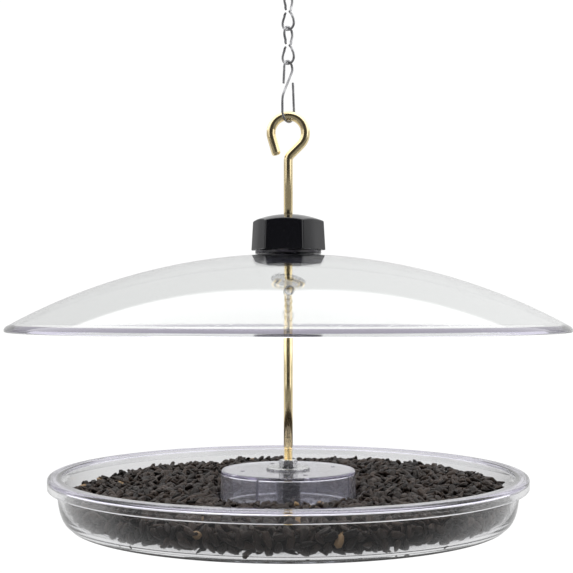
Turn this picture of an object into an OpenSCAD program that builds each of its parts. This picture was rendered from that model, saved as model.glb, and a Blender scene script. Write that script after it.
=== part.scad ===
// Hanging covered-dish seed feeder: a clear dish of sunflower seed on a brass rod,
// under a clear domed cover that a knob clamps to the rod, hung from a short chain.
// Millimetres, +Z up. The origin is the point where the top hook bears on its support,
// and the rod, the dish and the cover share the Z axis.

/* [Chain and hooks] */
// Diameter of the steel wire in the chain and the S-hooks
wire_d = 1.8; // [1.6:0.1:2.0]
// Outside length of one chain link
link_len = 27; // [25:0.5:30]
// Outside width of a link's loop
link_w = 10; // [9:0.5:12]
// Outside length of an S-hook
hook_len = 43.6; // [40:0.5:50]
// Outside width of an S-hook's small loop
hook_small_w = 11.4; // [10:0.2:13]
// Outside width of an S-hook's large loop
hook_large_w = 15.8; // [14:0.2:18]
// Turn of the chain about the vertical, in degrees
chain_turn = 55; // [0:5:90]

/* [Hanger rod] */
// Diameter of the brass rod
rod_d = 6.35; // [6.35]
// Radius of the rod's eye, along the middle of the bar
eye_r = 11.8; // [11:0.2:14]
// Diameter of the cross hole for the stop pin
pin_hole_d = 2.3; // [2.2:0.1:2.5]

/* [Cover] */
// Outside diameter of the domed cover
dome_d = 381; // [340:1:400]
// Rise of the cover from the top of its rim to its crown
dome_rise = 50.8; // [45:0.2:56]
// Thickness of the cover's sheet
dome_t = 2.0; // [1.8:0.1:2.2]
// Height of the rim band at the cover's edge
dome_lip = 3.0; // [2.5:0.1:4]
// Drop from the middle of the rod's eye to the crown of the cover
dome_drop = 83; // [80:1:100]

/* [Knob] */
// Width of the knob across its corners at the base
knob_w = 52; // [46:1:54]
// Height of the knob
knob_h = 25; // [22:0.5:28]

/* [Dish] */
// Outside diameter of the dish's rim
dish_d = 325.4; // [300:1:340]
// Height of the dish
dish_h = 32.5; // [31:0.5:34]
// Drop from the middle of the rod's eye to the top of the dish's rim
dish_drop = 232.5; // [225:0.5:260]
// Diameter of the hub cover's top
hub_d = 91.6; // [84:0.2:92]

/* [Hidden] */

$fn = 96;
touch = 0.05;              // gap left where two bodies bear on each other
slip = 0.05;               // radial clearance of a running fit

// Chain geometry, in the plane of a loop
wire_r = wire_d / 2;
link_rise = (link_len - wire_d) / 2;       // waist to the middle of the end wire
link_half = (link_w - wire_d) / 2;         // half width at the middle of the wire
waist = 0.98;                              // half the gap between the wires at the waist
end_gap = 0.8;                             // height of a wire end above the waist
hook_span = hook_len - wire_d;
hook_r1 = (hook_small_w - wire_d) / 2;
hook_r2 = (hook_large_w - wire_d) / 2;
tip_lean = 4;                              // inward lean of an S-hook's free ends
tip_small = 11.2;                          // straight ends past the two loops
tip_large = 20.5;
shoulder_r = 12;                           // gentle bend in an S-hook's back
shoulder_drop = 6.5;                       // shoulder to the middle of the large loop

// Levels from the hanging point down
rod_r = rod_d / 2;
top_hook_z = wire_r;                                  // middle of the top hook's top wire
hang_step = wire_d + touch;                           // one wire bearing on the next
link1_z = top_hook_z - hook_span + hang_step;         // middle of link 1's top wire
link2_z = link1_z - 2 * link_rise + hang_step;
s_hook_z = link2_z - 2 * link_rise + hang_step;
eye_top_z = s_hook_z - hook_span + wire_r + touch + rod_r;
eye_z = eye_top_z - eye_r;
crown_z = eye_z - dome_drop;
rim_z = eye_z - dish_drop;

// Cover: a cap of a sphere
dome_r = (pow(dome_d / 2, 2) + pow(dome_rise, 2)) / (2 * dome_rise);
dome_mid_z = crown_z - dome_r;
dome_edge_z = crown_z - dome_rise;
dome_hole_r = 9.7;

// Clamp: washer, knob and collet round the rod
washer_t = 2.25;
knob_z = crown_z + touch + washer_t + touch;
knob_r = knob_w / 2;
knob_top_r = knob_r - 1.8;
knob_turn = -8.4;
knob_crown_r = 63.4;
knob_edge_r = 2.2;
tube_r = 9.5;
collet_mid = 12;                           // knob base to the foot of the collet's nose
collet_tip = 17;                           // knob base to the tip of the collet
nose_r = 7;
flange_z = crown_z - 7.4;
flange_t = 3.5;
gasket_t = 1.0;
gasket_r = 24.5;
flange_r = 25;
flange_foot_r = 22.2;
knob_washer_r = 22.7;

// Stop under the cover
stop_z = crown_z - 18;
stop_tilt = [-16, 7.5, 0];
stop_d = 24;
stop_hole_d = 7.6;
stop_t = 1.2;
pin_z = crown_z - 22.5;
pin_d = 2.2;
ring_r = 2.8;
ring_d = 1.5;

// Hub, from the top of the hub cover down
hub_z = rim_z + 1.7;
hub_r = hub_d / 2;
hub_flare = 1.0;                           // how much wider the skirt is at its foot
hub_wall = 2;
hub_plate = 2.4;
hub_hole_r = 1.75;
hub_hole_pcd = 66;
hub_rib_t = 1.6;
hub_rib_turn = -27;
hub_hole_turn = 20;
post_r = 8.75;
seat_z = rim_z - 21.1;                     // top of the dish's raised middle
fender_d = 30;
fender_t = 1.5;
seal_t = 1.2;
seal_r = 13.5;
nut_af = 11.1;
nut_h = 5;
small_hole_r = rod_r + 0.25;

// Dish section, as radii and depths below the rim
dish_r = dish_d / 2;
floor_depth = 28.5;
floor_t = 2.6;
foot_depth = dish_h;
base_z = rim_z - dish_h;
seat_r = 47;
lip_t = 2.3;                               // thickness of the rim's lip and skirt
seat_under_z = seat_z - floor_t;
wall_foot_r = 148;                         // outside of the wall where it meets the foot
wall_bow = 8;                              // how far the wall spreads from the foot to the rim
wall_t = 2.6;
floor_r = wall_foot_r - 7.5;               // edge of the flat floor, inside

// A ring of points round a path point, square to the path's direction
function unit(v) = v / norm(v);
function ring(p, dir, side, r, n) =
    let (a = unit(cross(dir, side)), b = unit(cross(a, dir)))
    [for (i = [0 : n - 1]) p + r * (cos(360 * i / n) * b + sin(360 * i / n) * a)];

// A round bar swept along a list of points, closed at both ends
module swept_bar(path, r, sides) {
    last = len(path) - 1;
    dirs = [for (i = [0 : last]) unit(path[min(i + 1, last)] - path[max(i - 1, 0)])];
    // The side vector is carried along the path, so that the rings don't twist
    sides_at = [for (i = 0, s = unit(cross(dirs[0], [0.3, 1, 0.2])); i <= last;
                     i = i + 1, s = i <= last ? unit(s - (s * dirs[i]) * dirs[i]) : s) s];
    points = [for (i = [0 : last]) each ring(path[i], dirs[i], sides_at[i], r, sides)];
    walls = [for (i = [0 : last - 1], j = [0 : sides - 1])
        let (k = (j + 1) % sides)
        [i * sides + j, (i + 1) * sides + j, (i + 1) * sides + k, i * sides + k]];
    caps = [[for (j = [0 : sides - 1]) j], [for (j = [sides - 1 : -1 : 0]) last * sides + j]];
    polyhedron(points, concat(walls, caps), convexity = 8);
}

// Teardrop half of a link: offset from the middle line, and distance from the waist
function drop_side(t) =
    let (swell = (link_half / 0.77) * sin(t) * sin(t / 2)) swell + waist * cos(t / 2);
function drop_rise(t) = link_rise * (1 - cos(t)) / 2;
// The plane of the wire turns a quarter turn at the waist
function loop_turn(z) = 45 * max(-1, min(1, z / 3.2));
function loop_point(offset, z) =
    let (turn = chain_turn - 45 + loop_turn(z)) [offset * cos(turn), offset * sin(turn), z];
function link_path() =
    let (step = 15, start = acos(1 - 2 * end_gap / link_rise))
    concat(
        [for (i = [0 : 24 - floor(start / step)])
            let (t = max(360 - start - i * step, 0))
            if (t > 0) loop_point(drop_side(t), drop_rise(t))],
        [loop_point(waist, 0)],
        [for (i = [1 : 24 - floor(start / step)])
            let (t = min(i * step, 360 - start))
            loop_point(drop_side(t), -drop_rise(t))]
    );

// One chain link, hung with the middle of its top wire at a level
module chain_link(z) {
    translate([0, 0, z - link_rise])
        swept_bar(link_path(), wire_r, 12);
}

// Points of an arc in the XZ plane, from one angle to another
function arc_path(mid, r, from, to, steps) =
    [for (i = [0 : steps])
        let (a = from + (to - from) * i / steps)
        [mid[0] + r * cos(a), 0, mid[1] + r * sin(a)]];
function on_circle(mid, r, a) = [mid[0] + r * cos(a), 0, mid[1] + r * sin(a)];
function lean_up(a) = [-sin(a), 0, cos(a)];

// An S-hook in the XZ plane, with the middle of its top wire at the origin
module hook_shape() {
    mid1 = [0, -hook_r1];
    mid2 = [0, hook_r2 - hook_span];
    // The back leans from the small loop to a shoulder, then drops straight to the large loop
    shoulder = [shoulder_r - hook_r2, mid2[1] + shoulder_drop];
    across = shoulder - mid1;
    back_lean = asin((hook_r1 + shoulder_r) / norm(across)) - atan2(across[0], -across[1]);
    tip1 = on_circle(mid1, hook_r1, 180 + tip_lean) - tip_small * lean_up(-tip_lean);
    tip2 = on_circle(mid2, hook_r2, tip_lean) + tip_large * lean_up(tip_lean);
    swept_bar(concat(
        [tip1],
        arc_path(mid1, hook_r1, 180 + tip_lean, -back_lean, 18),
        arc_path(shoulder, shoulder_r, 180 - back_lean, 180, 5),
        arc_path(mid2, hook_r2, 180, 360 + tip_lean, 14),
        [tip2]
    ), wire_r, 12);
}

module top_hook() {
    color("silver")
        translate([0, 0, top_hook_z])
            rotate([0, 0, chain_turn - 90])
                hook_shape();
}

module chain_link_1() {
    color("silver")
        chain_link(link1_z);
}

module chain_link_2() {
    color("silver")
        chain_link(link2_z);
}

module s_hook() {
    color("silver")
        translate([0, 0, s_hook_z])
            rotate([0, 0, chain_turn])
                hook_shape();
}

// Brass rod: an open eye, a bend back to the middle line, and a straight shank
module hanger_rod() {
    bend_r = 6;
    mid = [0, eye_z];
    arm_from = 196;
    arm_len = 12.5;
    heel = on_circle(mid, eye_r, -45);
    knee_x = bend_r * (1 - cos(45));
    bend_z = heel[2] - (heel[0] - knee_x) - bend_r * sin(45);
    foot_z = base_z + 0.2;
    arm_end = on_circle(mid, eye_r, arm_from) - arm_len * [sin(arm_from), 0, -cos(arm_from)];
    color("goldenrod") {
        swept_bar(concat(
            [[0, 0, bend_z - 2]],
            arc_path([bend_r, bend_z], bend_r, 180, 135, 6),
            arc_path(mid, eye_r, -45, arm_from, 32),
            [arm_end]
        ), rod_r - 0.02, 16);
        difference() {
            translate([0, 0, foot_z])
                cylinder(r = rod_r, h = bend_z - foot_z);
            translate([0, 0, pin_z])
                rotate([90, 0, 0])
                    cylinder(d = pin_hole_d, h = 3 * rod_d, center = true, $fn = 48);
        }
    }
}

// Hexagonal knob with soft corners, a crowned top and a stepped bore for the collet
module lock_knob() {
    color("#141416")
        translate([0, 0, knob_z])
            difference() {
                intersection() {
                    hull() {
                        knob_slice(0.8, knob_r - 0.5);
                        translate([0, 0, 0.8])
                            knob_slice(knob_h - 5.3, knob_r);
                        translate([0, 0, knob_h - 0.1])
                            knob_slice(0.1, knob_top_r - 0.6);
                    }
                    translate([0, 0, knob_h - knob_crown_r])
                        sphere(r = knob_crown_r);
                }
                translate([0, 0, -1])
                    cylinder(r = tube_r + slip, h = collet_mid + 1);
                translate([0, 0, collet_mid])
                    cylinder(r1 = tube_r + slip, r2 = nose_r + slip,
                             h = collet_tip - collet_mid);
                translate([0, 0, collet_tip])
                    cylinder(r = nose_r + slip, h = 0.5);
                cylinder(r = rod_r + 0.4, h = 2 * knob_h);
            }
}
module knob_slice(h, r) {
    top = r - (knob_r - knob_top_r) * h / knob_h;
    for (a = [0 : 60 : 300])
        rotate([0, 0, a + knob_turn])
            translate([r - knob_edge_r, 0, 0])
                cylinder(r1 = knob_edge_r, r2 = knob_edge_r + top - r, h = h, $fn = 24);
}

module knob_washer() {
    color("#1c1b1f")
        translate([0, 0, crown_z + touch])
            difference() {
                cylinder(r = knob_washer_r, h = washer_t);
                translate([0, 0, -1])
                    cylinder(r = tube_r + 0.1, h = washer_t + 2);
            }
}

// Flanged collet: the flange is under the cover, the split nose is inside the knob
module clamp_collet() {
    slot_w = 1.2;
    mid_z = knob_z + collet_mid;
    tip_z = knob_z + collet_tip;
    color("#232129")
        difference() {
            union() {
                translate([0, 0, flange_z])
                    cylinder(r1 = flange_foot_r, r2 = flange_r, h = flange_t);
                translate([0, 0, flange_z])
                    cylinder(r = tube_r, h = mid_z - flange_z);
                translate([0, 0, mid_z])
                    cylinder(r1 = tube_r, r2 = nose_r, h = tip_z - mid_z - 0.1);
            }
            translate([0, 0, flange_z - 1])
                cylinder(r = rod_r + slip, h = 60);
            for (a = [0, 90])
                rotate([0, 0, a])
                    translate([-tube_r - 1, -slot_w / 2, mid_z - 6])
                        cube([2 * tube_r + 2, slot_w, 20]);
        }
}

module dome_gasket() {
    color("#2a2a2e")
        translate([0, 0, flange_z + flange_t])
            difference() {
                cylinder(r = gasket_r, h = gasket_t);
                translate([0, 0, -1])
                    cylinder(r = tube_r + 0.1, h = gasket_t + 2);
            }
}

// Clear domed cover: a spherical shell cut off by a thin upright rim band
module dome_cover() {
    rim_r = dome_d / 2;
    color([0.88, 0.9, 0.95, 0.35])
        difference() {
            rotate_extrude($fn = 180)
                dome_section(rim_r);
            translate([0, 0, crown_z - 10])
                cylinder(r = dome_hole_r, h = 20);
        }
}
module dome_section(rim_r) {
    difference() {
        intersection() {
            union() {
                translate([0, dome_mid_z])
                    circle(r = dome_r, $fn = 720);
                translate([0, dome_edge_z - dome_lip])
                    square([rim_r, dome_lip + 1]);
            }
            translate([0, dome_edge_z - dome_lip])
                square([rim_r, dome_rise + dome_lip + 1]);
        }
        translate([0, dome_mid_z])
            circle(r = dome_r - dome_t, $fn = 720);
        translate([-1, dome_edge_z - dome_lip - 1])
            square([rim_r - dome_lip - 0.4, dome_lip + 1]);
    }
}

module stop_washer() {
    color("#b9b4ad")
        translate([0, 0, stop_z])
            rotate(stop_tilt)
                difference() {
                    cylinder(d = stop_d, h = stop_t, center = true);
                    cylinder(d = stop_hole_d, h = 3 * stop_t, center = true);
                }
}

// Pin through the rod, with a ring of the same wire at its front end
module stop_pin() {
    front = -6.6;
    back = 8.2;
    ring_mid = [0.8, pin_z + pin_d / 2 - ring_r - ring_d / 2];
    color("#a9a6a2") {
        translate([0, back, pin_z])
            rotate([90, 0, 0])
                cylinder(d = pin_d, h = back - front, $fn = 48);
        translate([ring_mid[0], front, ring_mid[1]])
            rotate([90, 0, 0])
                rotate_extrude($fn = 64)
                    translate([ring_r, 0])
                        circle(d = ring_d, $fn = 32);
    }
}

module hex_nut(z) {
    translate([0, 0, z])
        difference() {
            intersection() {
                cylinder(d = nut_af / cos(30), h = nut_h, $fn = 6);
                cylinder(r1 = nut_af / 2 + 0.2, r2 = nut_af / 2 + 0.2 + nut_h, h = nut_h);
                cylinder(r2 = nut_af / 2 + 0.2, r1 = nut_af / 2 + 0.2 + nut_h, h = nut_h);
            }
            translate([0, 0, -1])
                cylinder(r = rod_r + slip, h = nut_h + 2);
        }
}

module fender_washer(z) {
    translate([0, 0, z])
        difference() {
            cylinder(d = fender_d, h = fender_t);
            translate([0, 0, -1])
                cylinder(r = small_hole_r, h = fender_t + 2);
        }
}

module hub_nut() {
    color("#c2c0bb")
        hex_nut(hub_z + fender_t);
}

module hub_washer() {
    color("#c9c7c2")
        fender_washer(hub_z);
}

// Clear inverted cup over the middle of the dish, with four drain holes and four ribs
module hub_cover() {
    deep = hub_z - seat_z - touch;
    color([0.85, 0.86, 0.92, 0.4])
        translate([0, 0, hub_z - deep])
            difference() {
                cylinder(r1 = hub_r + hub_flare, r2 = hub_r, h = deep);
                difference() {
                    translate([0, 0, -1])
                        cylinder(r1 = hub_r + hub_flare - hub_wall, r2 = hub_r - hub_wall,
                                 h = deep - hub_plate + 1);
                    for (a = [0 : 90 : 270])
                        rotate([0, 0, a + hub_rib_turn])
                            translate([post_r + 1, -hub_rib_t / 2, 0])
                                cube([hub_r - post_r - 2, hub_rib_t, deep]);
                }
                for (a = [0 : 90 : 270])
                    rotate([0, 0, a + hub_hole_turn])
                        translate([hub_hole_pcd / 2, 0, deep - hub_plate - 1])
                            cylinder(r = hub_hole_r, h = hub_plate + 2, $fn = 32);
                translate([0, 0, deep - hub_plate - 1])
                    cylinder(r = small_hole_r, h = hub_plate + 2);
            }
}

module hub_post() {
    color("#17171a")
        translate([0, 0, seat_z])
            difference() {
                cylinder(r = post_r, h = hub_z - hub_plate - seat_z);
                translate([0, 0, -1])
                    cylinder(r = small_hole_r, h = 40);
            }
}

// Clear shallow dish: turned-down rim, bowed wall, flat floor and a raised middle
module seed_dish() {
    color([0.86, 0.86, 0.92, 0.35])
        translate([0, 0, rim_z])
            difference() {
                rotate_extrude($fn = 180)
                    dish_section();
                translate([0, 0, -foot_depth - 1])
                    cylinder(r = small_hole_r, h = foot_depth + 2);
            }
}
module dish_section() {
    skirt_in = dish_r - lip_t;
    lip_foot = -7.9;
    edge_r = 0.8;
    polygon(concat(
        // Outside, from the raised middle out under the floor and up the wall
        [[0, seat_under_z - rim_z], [seat_r - 3.6, seat_under_z - rim_z],
         [seat_r - 0.8, -floor_depth - floor_t], [floor_r + 1, -floor_depth - floor_t],
         [floor_r + 1.9, -foot_depth], [wall_foot_r, -foot_depth]],
        [for (a = [10 : 16 : 90]) wall_curve(a, 0)],
        // Rim: a flat lip with a skirt turned down outside it, open below
        [[dish_r - 6.5, -lip_t], [skirt_in, -lip_t], [skirt_in, lip_foot + edge_r],
         [skirt_in + edge_r, lip_foot]],
        [for (a = [-90 : 30 : 0]) [dish_r - edge_r, lip_foot + edge_r] + edge_r * [cos(a), sin(a)]],
        [for (a = [0 : 15 : 90]) [dish_r - 2, -2] + 2 * [cos(a), sin(a)]],
        [[154.4, 0], [153.5, -0.4], [153.1, -1.4]],
        // Inside, down the wall and across the floor
        [for (a = [90 : -16 : 10]) wall_curve(a, wall_t)],
        [[floor_r, -floor_depth], [seat_r + 3.6, -floor_depth],
         [seat_r, seat_z - rim_z], [0, seat_z - rim_z]]
    ));
}
// The wall bows outwards from the foot at 0 degrees to the rim at 90 degrees
function wall_curve(a, inset) =
    [wall_foot_r + wall_bow * sin(a) - inset,
     -foot_depth + (foot_depth - 10.5) * (1 - cos(a)) + 1.2 + 0.9 * inset * cos(a)];

module seal_washer() {
    color("#1f1f21")
        translate([0, 0, seat_under_z - seal_t])
            difference() {
                cylinder(r = seal_r, h = seal_t);
                translate([0, 0, -1])
                    cylinder(r = small_hole_r, h = 4);
            }
}

module base_washer() {
    color("#c9c7c2")
        fender_washer(seat_under_z - seal_t - fender_t);
}

module base_nut() {
    color("#c2c0bb")
        hex_nut(seat_under_z - seal_t - fender_t - nut_h);
}

// The bed of seed, as one closed ring with a slightly heaped top
module seed_fill() {
    gap = 0.3;
    color("#221d1b")
        translate([0, 0, rim_z])
            rotate_extrude($fn = 120)
                polygon(concat(
                    [[51.2, -floor_depth + gap], [floor_r, -floor_depth + gap]],
                    [for (a = [10 : 16 : 74]) wall_curve(a, wall_t) + [-gap, gap]],
                    [[151.5, -12.4], [146, -10.2], [120, -8.6], [80, -9.6], [56, -13.2],
                     [48.2, -15.4], [48.2, -20.5]]
                ));
}

top_hook();
chain_link_1();
chain_link_2();
s_hook();
hanger_rod();
lock_knob();
knob_washer();
clamp_collet();
dome_gasket();
dome_cover();
stop_washer();
stop_pin();
hub_nut();
hub_washer();
hub_cover();
hub_post();
seed_dish();
seal_washer();
base_washer();
base_nut();
seed_fill();
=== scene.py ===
"""Hanging bird feeder: a clear domed cover over a clear seed dish, on a brass rod and a chain.

Lengths are in metres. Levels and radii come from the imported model's own boxes.
"""
import math

import bmesh
import bpy
from mathutils import Euler, Matrix, Vector, noise


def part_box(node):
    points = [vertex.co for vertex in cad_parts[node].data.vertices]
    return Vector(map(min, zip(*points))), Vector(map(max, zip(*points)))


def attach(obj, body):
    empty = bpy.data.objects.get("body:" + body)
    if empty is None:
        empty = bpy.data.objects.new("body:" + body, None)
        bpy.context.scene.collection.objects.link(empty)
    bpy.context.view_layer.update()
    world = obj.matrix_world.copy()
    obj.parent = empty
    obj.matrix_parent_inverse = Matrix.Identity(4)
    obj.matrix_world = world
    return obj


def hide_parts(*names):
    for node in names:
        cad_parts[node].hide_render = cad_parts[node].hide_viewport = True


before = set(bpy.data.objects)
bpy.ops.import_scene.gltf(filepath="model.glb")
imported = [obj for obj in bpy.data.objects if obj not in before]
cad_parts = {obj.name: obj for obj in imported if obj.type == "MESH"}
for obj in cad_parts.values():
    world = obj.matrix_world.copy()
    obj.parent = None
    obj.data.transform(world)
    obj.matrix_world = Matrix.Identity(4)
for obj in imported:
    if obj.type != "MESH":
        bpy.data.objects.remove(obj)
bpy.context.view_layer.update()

MM = 0.001
scene = bpy.context.scene


def top_of(node):
    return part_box(node)[1].z


def foot_of(node):
    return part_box(node)[0].z


def radius_of(node):
    low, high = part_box(node)
    return (high.x - low.x) / 2


# ---------------------------------------------------------------- sizes

rod_r = 3.175 * MM
wire_r = 0.9 * MM
chain_turn = math.radians(55)
thread_pitch = 1.27 * MM
eye_r = 11.8 * MM
eye_z = top_of("hanger_rod") - (rod_r - 0.02 * MM) - eye_r
crown_z = top_of("dome_cover")
rim_z = top_of("seed_dish")
base_z = foot_of("seed_dish")

# ---------------------------------------------------------------- camera

lens_mm, sensor_mm = 76.08377, 36
upward_shift = 0.03926702
camera_back = 0.832
camera_rise = 15.2 * MM

camera_data = bpy.data.cameras.new("camera")
camera_data.sensor_width = sensor_mm
camera_data.lens = lens_mm
camera_data.shift_y = upward_shift
camera_data.clip_start = 0.01
camera = bpy.data.objects.new("camera", camera_data)
camera.location = (-1.2 * MM, -camera_back, foot_of("dome_cover") + camera_rise)
camera.rotation_euler = (math.radians(90), 0, 0)
scene.collection.objects.link(camera)
scene.camera = camera

# ---------------------------------------------------------------- node helpers


def add(tree, kind, inputs=None, **settings):
    """A node of that kind, with its settings, and its inputs as values or other nodes' sockets."""
    made = tree.nodes.new(kind)
    for name, value in settings.items():
        setattr(made, name, value)
    for name, value in (inputs or {}).items():
        if isinstance(value, bpy.types.NodeSocket):
            tree.links.new(value, made.inputs[name])
        else:
            made.inputs[name].default_value = value
    return made


def maths(tree, operation, *values):
    """The output of a Math node."""
    inputs = dict(enumerate(values))
    return add(tree, "ShaderNodeMath", inputs, operation=operation).outputs[0]


def ranged(tree, value, low, high, to_low, to_high):
    """A value carried from one range to another, and held at its ends."""
    inputs = {"Value": value, "From Min": low, "From Max": high}
    inputs.update({"To Min": to_low, "To Max": to_high})
    return add(tree, "ShaderNodeMapRange", inputs).outputs["Result"]


def group(name, kind, inputs, outputs):
    """An empty node group with named sockets, and its input and output nodes."""
    tree = bpy.data.node_groups.new(name, kind)
    for label, socket_type, default in inputs:
        made = tree.interface.new_socket(label, in_out="INPUT", socket_type=socket_type)
        if default is not None:
            made.default_value = default
    for label, socket_type in outputs:
        tree.interface.new_socket(label, in_out="OUTPUT", socket_type=socket_type)
    return tree, tree.nodes.new("NodeGroupInput"), tree.nodes.new("NodeGroupOutput")


FLOAT, VECTOR = "NodeSocketFloat", "NodeSocketVector"

# ---------------------------------------------------------------- shared surface effects


def scratches_group():
    """Fine handling scratches in two directions. The mask is 1 on a scratch."""
    inputs = [("Vector", VECTOR, None), ("Scale", FLOAT, 60), ("Amount", FLOAT, 0.5)]
    tree, given, result = group("fine_scratches", "ShaderNodeTree", inputs, [("Mask", FLOAT)])
    masks = []
    for turn, stretch in ((0.5, (1, 22, 1)), (2.1, (20, 1, 6))):
        mapped = add(tree, "ShaderNodeMapping",
                     {"Vector": given.outputs["Vector"], "Rotation": (turn, turn / 2, turn)})
        squeezed = add(tree, "ShaderNodeMapping", {"Vector": mapped.outputs[0], "Scale": stretch})
        field = add(tree, "ShaderNodeTexNoise",
                    {"Vector": squeezed.outputs[0], "Scale": given.outputs["Scale"], "Detail": 2})
        masks.append(ranged(tree, field.outputs["Fac"], 0.66, 0.74, 0, 1))
    both = maths(tree, "MAXIMUM", *masks)
    tree.links.new(maths(tree, "MULTIPLY", both, given.outputs["Amount"]), result.inputs["Mask"])
    return tree


def mottle_group():
    """Slow uneven tone over a surface, between two values."""
    inputs = [("Vector", VECTOR, None), ("Scale", FLOAT, 30), ("Low", FLOAT, 0), ("High", FLOAT, 1)]
    tree, given, result = group("mottle", "ShaderNodeTree", inputs, [("Value", FLOAT)])
    field = add(tree, "ShaderNodeTexNoise",
                {"Vector": given.outputs["Vector"], "Scale": given.outputs["Scale"],
                 "Detail": 4, "Roughness": 0.6})
    value = ranged(tree, field.outputs["Fac"], 0.3, 0.7, given.outputs["Low"], given.outputs["High"])
    tree.links.new(value, result.inputs["Value"])
    return tree


def edge_wear_group():
    """Rubbed edges: a mask that is strong where the surface turns a corner."""
    inputs = [("Vector", VECTOR, None), ("Width", FLOAT, 0.0006), ("Amount", FLOAT, 0.5)]
    tree, given, result = group("edge_wear", "ShaderNodeTree", inputs, [("Mask", FLOAT)])
    soft = add(tree, "ShaderNodeBevel", {"Radius": given.outputs["Width"]}, samples=4)
    sharp = add(tree, "ShaderNodeNewGeometry")
    turned = add(tree, "ShaderNodeVectorMath",
                 {0: soft.outputs["Normal"], 1: sharp.outputs["Normal"]}, operation="DOT_PRODUCT")
    corner = ranged(tree, turned.outputs["Value"], 0.995, 0.9, 0, 1)
    field = add(tree, "ShaderNodeTexNoise",
                {"Vector": given.outputs["Vector"], "Scale": 900, "Detail": 3})
    broken = ranged(tree, field.outputs["Fac"], 0.45, 0.6, 0, 1)
    worn = maths(tree, "MULTIPLY", corner, broken)
    tree.links.new(maths(tree, "MULTIPLY", worn, given.outputs["Amount"]), result.inputs["Mask"])
    return tree


def dust_group():
    """Specks of dust and husk crumbs, as a mask."""
    inputs = [("Vector", VECTOR, None), ("Scale", FLOAT, 300), ("Amount", FLOAT, 0.5)]
    tree, given, result = group("dust", "ShaderNodeTree", inputs, [("Mask", FLOAT)])
    cells = add(tree, "ShaderNodeTexVoronoi",
                {"Vector": given.outputs["Vector"], "Scale": given.outputs["Scale"]})
    speck = ranged(tree, cells.outputs["Distance"], 0.05, 0.12, 1, 0)
    chance = add(tree, "ShaderNodeSeparateColor", {"Color": cells.outputs["Color"]})
    kept = maths(tree, "GREATER_THAN", chance.outputs[0], 0.7)
    mask = maths(tree, "MULTIPLY", speck, kept)
    tree.links.new(maths(tree, "MULTIPLY", mask, given.outputs["Amount"]), result.inputs["Mask"])
    return tree


SCRATCHES, MOTTLE, WEAR, DUST = scratches_group(), mottle_group(), edge_wear_group(), dust_group()


def effect(tree, shared, **inputs):
    """Places a shared group in a material, and gives its one output."""
    return add(tree, "ShaderNodeGroup", inputs, node_tree=shared).outputs[0]


def blend_colour(tree, share, a, b):
    """A colour mixed from two, each a colour or a socket."""
    mix = add(tree, "ShaderNodeMix", data_type="RGBA")
    tree.links.new(share, mix.inputs[0])
    for socket, value in ((mix.inputs[6], a), (mix.inputs[7], b)):
        if isinstance(value, bpy.types.NodeSocket):
            tree.links.new(value, socket)
        else:
            socket.default_value = (*value, 1)
    return mix.outputs[2]


# ---------------------------------------------------------------- materials


def blank(name):
    """A material's tree, its shader and its object coordinates."""
    made = bpy.data.materials.new(name)
    made.use_nodes = True
    tree = made.node_tree
    shader = tree.nodes["Principled BSDF"]
    coords = tree.nodes.new("ShaderNodeTexCoord").outputs["Object"]
    return made, tree, shader, coords


def set_plain(shader, **values):
    for name, value in values.items():
        shader.inputs[name.replace("_", " ")].default_value = value


def feed(tree, shader, **sockets):
    """Links sockets to the shader's inputs of those names."""
    for name, socket in sockets.items():
        tree.links.new(socket, shader.inputs[name.replace("_", " ")])


def plus(tree, value, extra, share):
    """A value with a share of another added."""
    return maths(tree, "ADD", value, maths(tree, "MULTIPLY", extra, share))


def bumped(tree, shader, height, strength, distance):
    bump = add(tree, "ShaderNodeBump",
               {"Height": height, "Strength": strength, "Distance": distance})
    tree.links.new(bump.outputs[0], shader.inputs["Normal"])


def ring_mask(tree, coords, inner, low, high, soft):
    """1 on what lies outside a radius and between two levels, with soft edges."""
    parts = add(tree, "ShaderNodeSeparateXYZ", {"Vector": coords})
    x, y, z = parts.outputs
    squares = maths(tree, "MULTIPLY_ADD", y, y, maths(tree, "MULTIPLY", x, x))
    outside = ranged(tree, maths(tree, "SQRT", squares), inner - soft, inner, 0, 1)
    above = ranged(tree, z, low - soft, low, 0, 1)
    below = ranged(tree, z, high, high + soft, 1, 0)
    return maths(tree, "MULTIPLY", outside, maths(tree, "MULTIPLY", above, below))


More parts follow.
